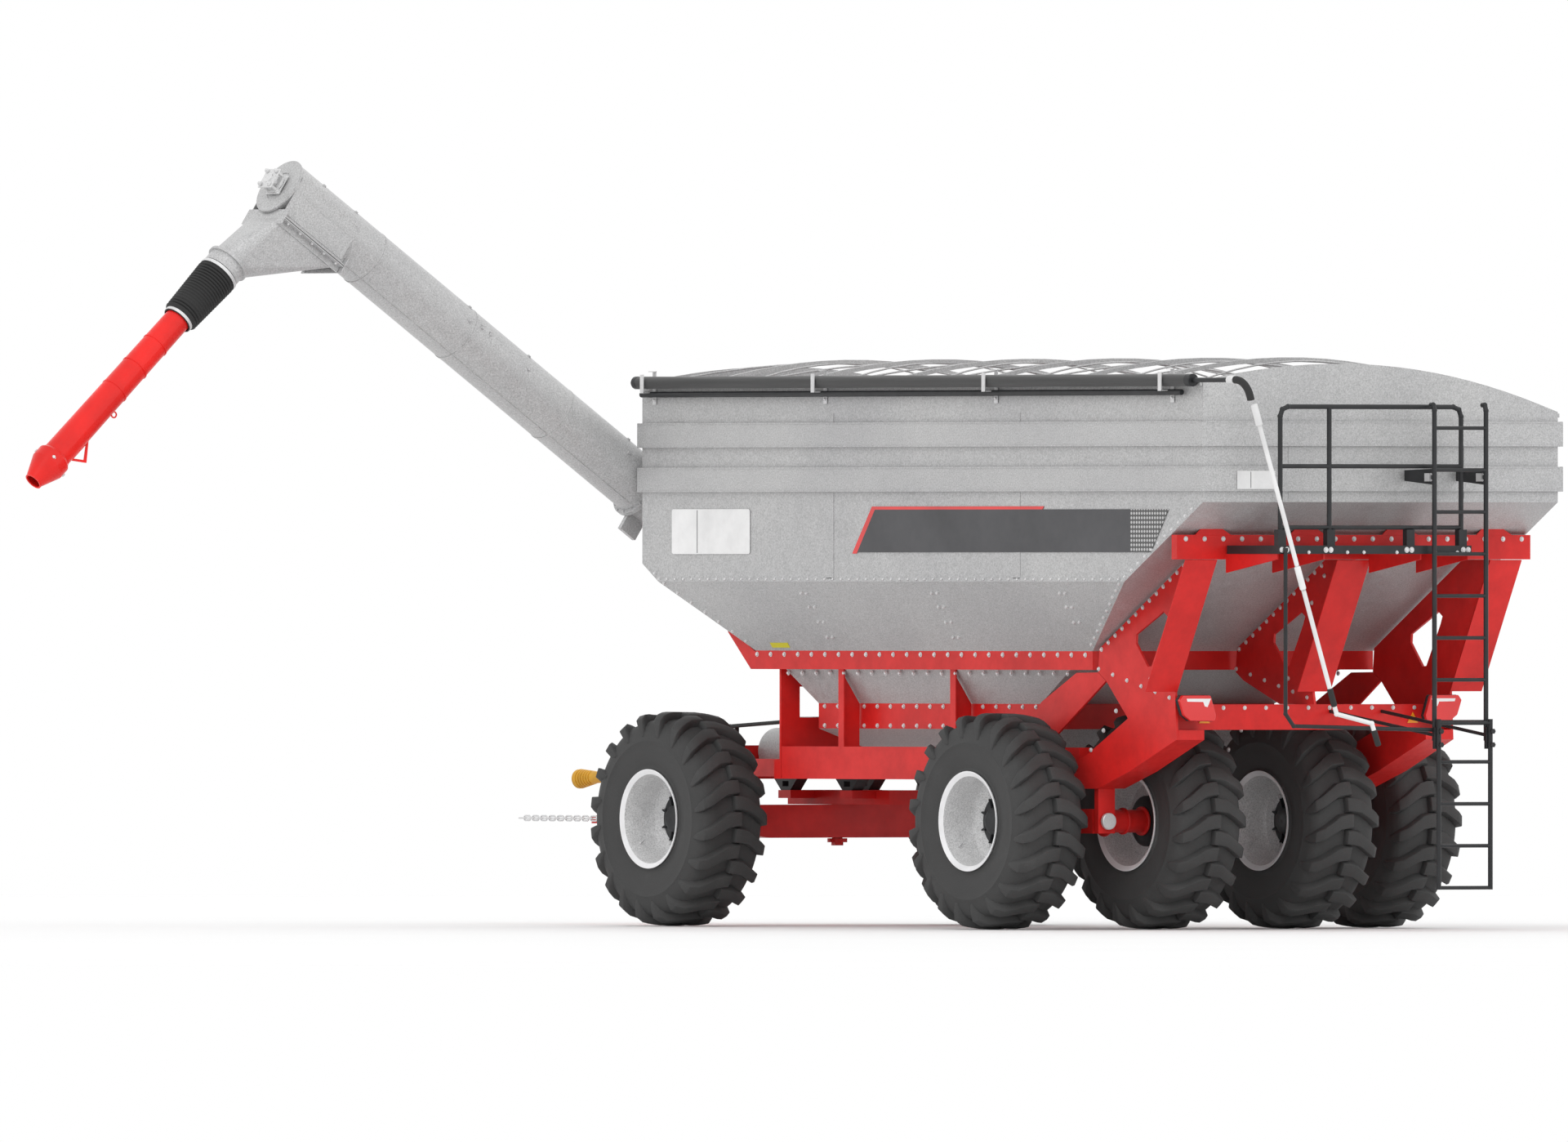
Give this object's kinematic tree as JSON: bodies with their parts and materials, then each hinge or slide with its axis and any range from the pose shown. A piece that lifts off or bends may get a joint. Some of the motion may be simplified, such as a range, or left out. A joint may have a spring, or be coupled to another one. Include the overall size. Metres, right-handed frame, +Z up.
{
  "type": "grain cart",
  "caption": "Towed grain cart with a galvanised hopper on a red frame, a folding side auger, rocker-mounted rear wheels, a steering front axle, a platform and a ladder.",
  "frame": {"origin": "centre of the drawbar eye's bore, at mid thickness", "axes": "+X the way the cart travels, +Y its left side, +Z up"},
  "size_m": [11.6641, 8.9827, 5.714],
  "materials": {
    "galvanised": "spangled zinc, matt",
    "red_paint": "semi-gloss",
    "black_paint": "satin",
    "white_paint": "semi-gloss",
    "zinc_bolts": "bright zinc",
    "tyre": "matt",
    "black_rubber": "matt",
    "cover_cloth": "coated canvas",
    "lamp_red": "gloss",
    "panel_grey": "satin film",
    "guard_yellow": "satin"
  },
  "bodies": {
    "chassis": {"hopper_shell": "galvanised", "hopper_ribs": "galvanised", "end_gables": "galvanised", "lower_rail": "red_paint", "funnel": "galvanised", "mid_rail": "red_paint", "trough": "galvanised", "auger_housing": "galvanised", "rail_bolts": "zinc_bolts", "low_rails": "red_paint", "front_bulkhead": "red_paint", "posts": "red_paint", "rear_band": "red_paint", "a_frames": "red_paint", "rear_beam": "red_paint", "legs": "red_paint", "pivot_pins": "zinc_bolts", "subframe": "red_paint", "load_cells": "black_paint", "bolster": "red_paint", "tail_lights": "lamp_red", "platform": "black_paint", "railing": "black_paint", "ladder": "black_paint", "tarp_brackets": "zinc_bolts", "tarp_bows": "galvanised", "crank_elbow": "black_rubber", "lower_tube": "galvanised", "pto_gearbox": "black_paint", "hydraulic_lines": "black_rubber", "side_panels": "panel_grey"},
    "front_axle": {"axle_beam": "red_paint", "drawbar": "red_paint", "safety_chain": "zinc_bolts"},
    "wheel_fl": {"tyre_fl": "tyre", "rim_fl": "white_paint"},
    "wheel_fr": {"tyre_fr": "tyre", "rim_fr": "white_paint"},
    "rocker_l": {"rocker_left": "red_paint"},
    "rocker_r": {"rocker_right": "red_paint"},
    "wheel_lo": {"tyre_lo": "tyre", "rim_lo": "white_paint"},
    "wheel_li": {"tyre_li": "tyre", "rim_li": "white_paint"},
    "wheel_ri": {"tyre_ri": "tyre", "rim_ri": "white_paint"},
    "wheel_ro": {"tyre_ro": "tyre", "rim_ro": "white_paint"},
    "roll": {"tarp_roll": "cover_cloth"},
    "crank_rod": {"crank": "white_paint"},
    "step": {"ladder_step": "black_paint"},
    "upper_auger": {"upper_tube": "galvanised", "auger_boot": "galvanised", "bellows": "black_rubber"},
    "screw": {"auger_shaft": "zinc_bolts"},
    "spout_tube": {"spout": "red_paint"},
    "pto": {"pto_shaft": "guard_yellow"}
  },
  "joints": [
    {"name": "steer", "type": "hinge", "parent": "chassis", "child": "front_axle", "pos_m": [-3.092, 0, 0], "axis": [0, 0, 1], "range_deg": [-8, 8]},
    {"name": "spin_fl", "type": "hinge", "parent": "front_axle", "child": "wheel_fl", "pos_m": [-3.092, 1.452, 0.02], "axis": [0, 1, 0], "continuous": true},
    {"name": "spin_fr", "type": "hinge", "parent": "front_axle", "child": "wheel_fr", "pos_m": [-3.092, -1.452, 0.02], "axis": [0, 1, 0], "continuous": true},
    {"name": "rock_l", "type": "hinge", "parent": "chassis", "child": "rocker_l", "pos_m": [-7.825, 1.1575, 0.02], "axis": [1, 0, 0], "range_deg": [-8, 8]},
    {"name": "rock_r", "type": "hinge", "parent": "chassis", "child": "rocker_r", "pos_m": [-7.825, -1.1575, 0.02], "axis": [1, 0, 0], "range_deg": [-8, 8]},
    {"name": "spin_lo", "type": "hinge", "parent": "rocker_l", "child": "wheel_lo", "pos_m": [-7.589, 1.709, 0.02], "axis": [0, 1, 0], "continuous": true},
    {"name": "spin_li", "type": "hinge", "parent": "rocker_l", "child": "wheel_li", "pos_m": [-8.061, 0.606, 0.02], "axis": [0, 1, 0], "continuous": true},
    {"name": "spin_ri", "type": "hinge", "parent": "rocker_r", "child": "wheel_ri", "pos_m": [-8.061, -0.606, 0.02], "axis": [0, 1, 0], "continuous": true},
    {"name": "spin_ro", "type": "hinge", "parent": "rocker_r", "child": "wheel_ro", "pos_m": [-7.589, -1.709, 0.02], "axis": [0, 1, 0], "continuous": true},
    {"name": "roll_spin", "type": "hinge", "parent": "chassis", "child": "roll", "pos_m": [-6, 1.681, 3.282], "axis": [1, 0, 0], "continuous": true},
    {"name": "crank_spin", "type": "hinge", "parent": "chassis", "child": "crank_rod", "pos_m": [-10.775, 1.66, 3.1], "axis": [-0.0104, 0.3176, 0.9482], "continuous": true},
    {"name": "step_fold", "type": "hinge", "parent": "chassis", "child": "step", "pos_m": [-10.525, -0.434, 0.75], "axis": [0, 1, 0], "range_deg": [0, 150]},
    {"name": "auger_fold", "type": "hinge", "parent": "chassis", "child": "upper_auger", "pos_m": [-2.3, 1.437, 2.505], "axis": [0, -0.5635, 0.8261], "range_deg": [-120, 0]},
    {"name": "screw_spin", "type": "hinge", "parent": "upper_auger", "child": "screw", "pos_m": [-2.56, 1.437, 2.505], "axis": [0, 0.8261, 0.5635], "continuous": true},
    {"name": "spout_swing", "type": "hinge", "parent": "upper_auger", "child": "spout_tube", "pos_m": [-2.56, 5.6383, 3.7424], "axis": [1, 0, 0], "range_deg": [-10, 10]},
    {"name": "pto_spin", "type": "hinge", "parent": "chassis", "child": "pto", "pos_m": [-2.134, 0, 0.444], "axis": [0.9984, 0, -0.057], "continuous": true}
  ],
  "couplings": [
    {"joint": "crank_spin", "follows": "roll_spin", "ratio": 1}
  ]
}
